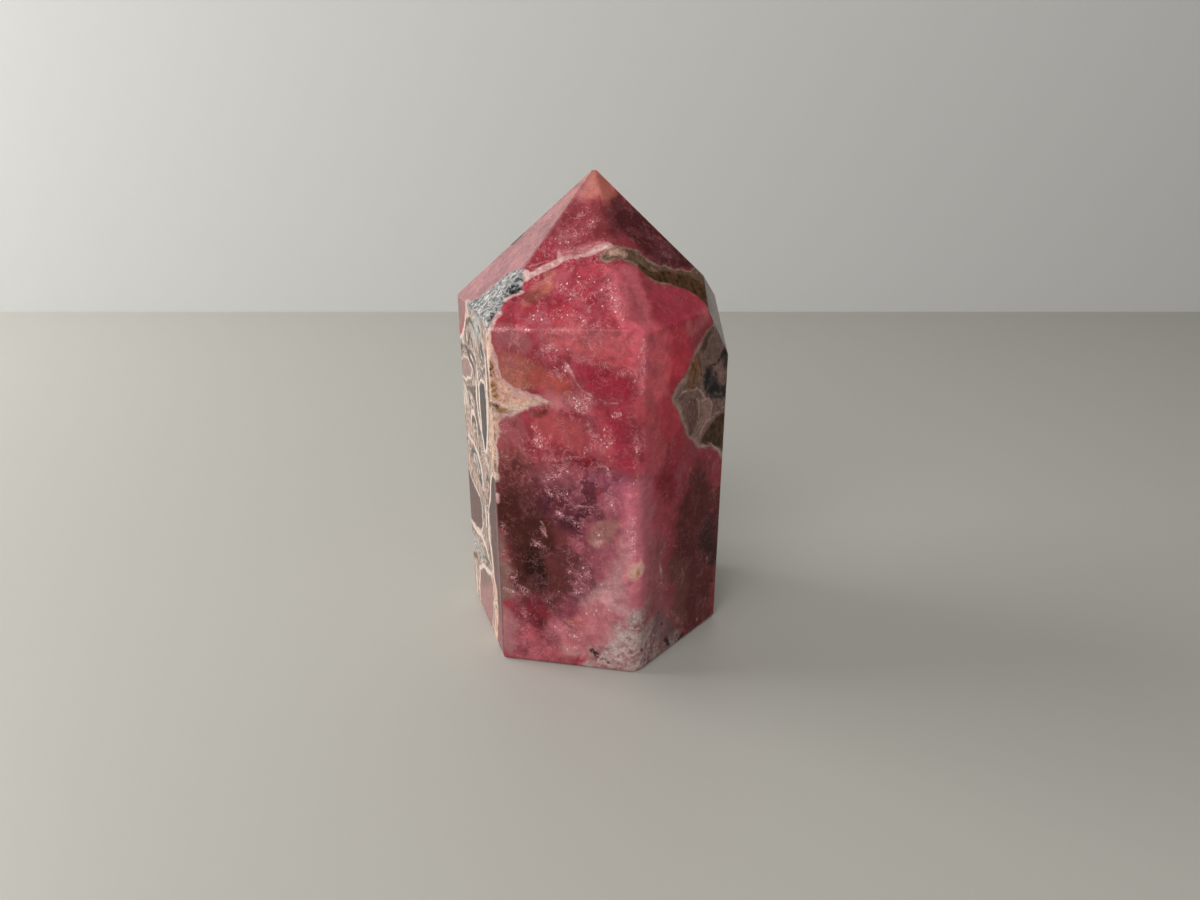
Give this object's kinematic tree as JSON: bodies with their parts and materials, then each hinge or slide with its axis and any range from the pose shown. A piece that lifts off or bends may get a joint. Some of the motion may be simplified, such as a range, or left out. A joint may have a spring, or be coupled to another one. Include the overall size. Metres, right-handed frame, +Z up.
{
  "type": "rhodochrosite tower",
  "caption": "Polished six-sided tower of banded rhodochrosite with a pointed top and a flat foot, for display on a shelf or table.",
  "frame": {"origin": "centre of the flat foot, on the surface it stands on", "axes": "+Z up along the shaft to the point; -Y out of the front face; +X to the right of the front face"},
  "size_m": [0.0464, 0.0404, 0.0801],
  "materials": {
    "rhodochrosite": "polished translucent pink and crimson stone with brown zones, pale veins and grey, cream and black speckled matrix"
  },
  "bodies": {
    "root": {"stone": "rhodochrosite"}
  },
  "joints": []
}
